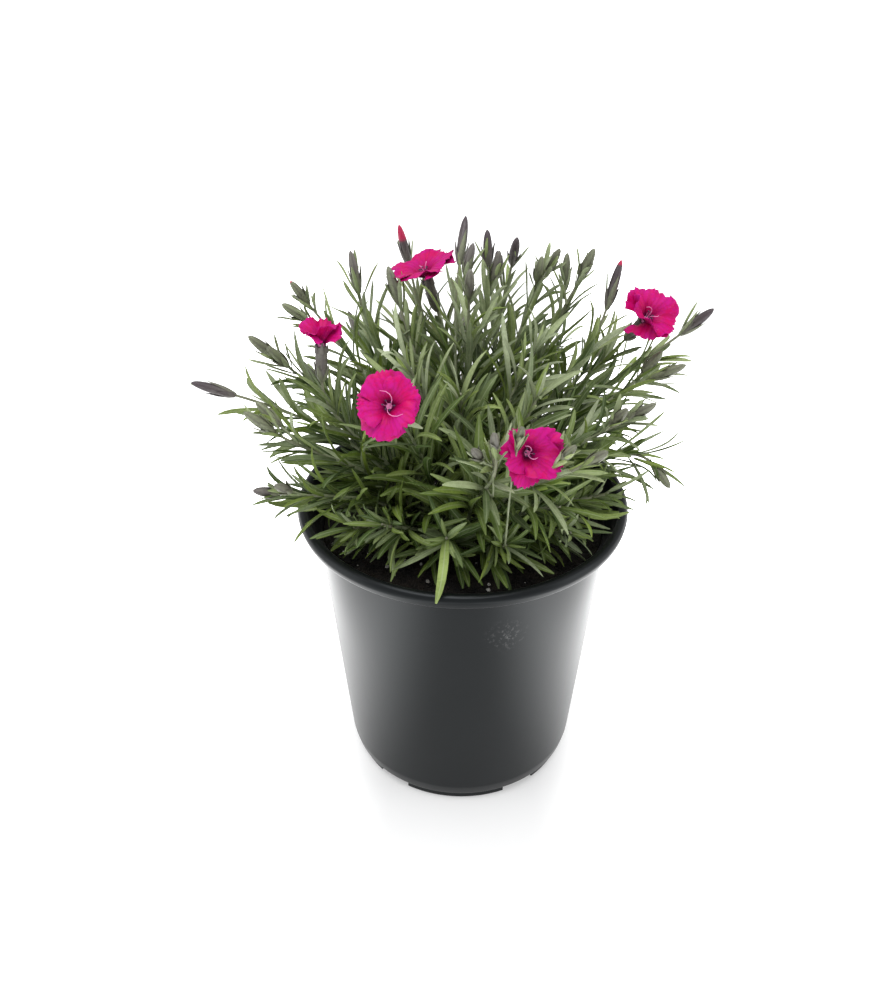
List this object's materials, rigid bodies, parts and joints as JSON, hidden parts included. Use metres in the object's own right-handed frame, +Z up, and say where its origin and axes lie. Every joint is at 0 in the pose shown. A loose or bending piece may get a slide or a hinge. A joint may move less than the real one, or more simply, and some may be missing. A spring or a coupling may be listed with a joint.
{
  "type": "dianthus plant",
  "caption": "Potted dianthus: a low dome of slim leafy stems with buds and toothed magenta blooms, in a round tapered nursery pot filled with soil.",
  "frame": {"origin": "on the floor under the middle of the pot", "axes": "+Z up along the pot's axis, -Y towards the viewer of the picture, +X to the viewer's right"},
  "size_m": [0.2463, 0.1892, 0.2771],
  "materials": {
    "foliage": "soft grey-green waxy bloom, matt",
    "petals": "velvety, magenta pink",
    "soil": "crumbly, matt, nearly black",
    "pot_plastic": "dark grey moulded plastic with a soft sheen"
  },
  "bodies": {
    "root": {"bloom_stem_1": "foliage", "bloom_stem_2": "foliage", "bloom_stem_3": "foliage", "bloom_stem_4": "foliage", "bloom_stem_5": "foliage", "bud_stem_01": "foliage", "bud_stem_02": "foliage", "bud_stem_03": "foliage", "bud_stem_04": "foliage", "bud_stem_05": "foliage", "bud_stem_06": "foliage", "bud_stem_07": "foliage", "bud_stem_08": "foliage", "bud_stem_09": "foliage", "bud_stem_10": "foliage", "bud_stem_11": "foliage", "bud_stem_12": "foliage", "bud_stem_13": "foliage", "bud_stem_14": "foliage", "bud_stem_15": "foliage", "bud_stem_16": "foliage", "bud_stem_17": "foliage", "bud_stem_18": "foliage", "bud_stem_19": "foliage", "bud_stem_20": "foliage", "bud_stem_21": "foliage", "bud_stem_22": "foliage", "bud_stem_23": "foliage", "bud_stem_24": "foliage", "bud_stem_25": "foliage", "bud_stem_26": "foliage", "corolla_1": "petals", "corolla_2": "petals", "corolla_3": "petals", "corolla_4": "petals", "corolla_5": "petals", "leafy_stem_01": "foliage", "leafy_stem_02": "foliage", "leafy_stem_03": "foliage", "leafy_stem_04": "foliage", "leafy_stem_05": "foliage", "leafy_stem_06": "foliage", "leafy_stem_07": "foliage", "leafy_stem_08": "foliage", "leafy_stem_09": "foliage", "leafy_stem_10": "foliage", "leafy_stem_11": "foliage", "leafy_stem_12": "foliage", "leafy_stem_13": "foliage", "leafy_stem_14": "foliage", "pot": "pot_plastic", "soil": "soil"}
  },
  "joints": []
}
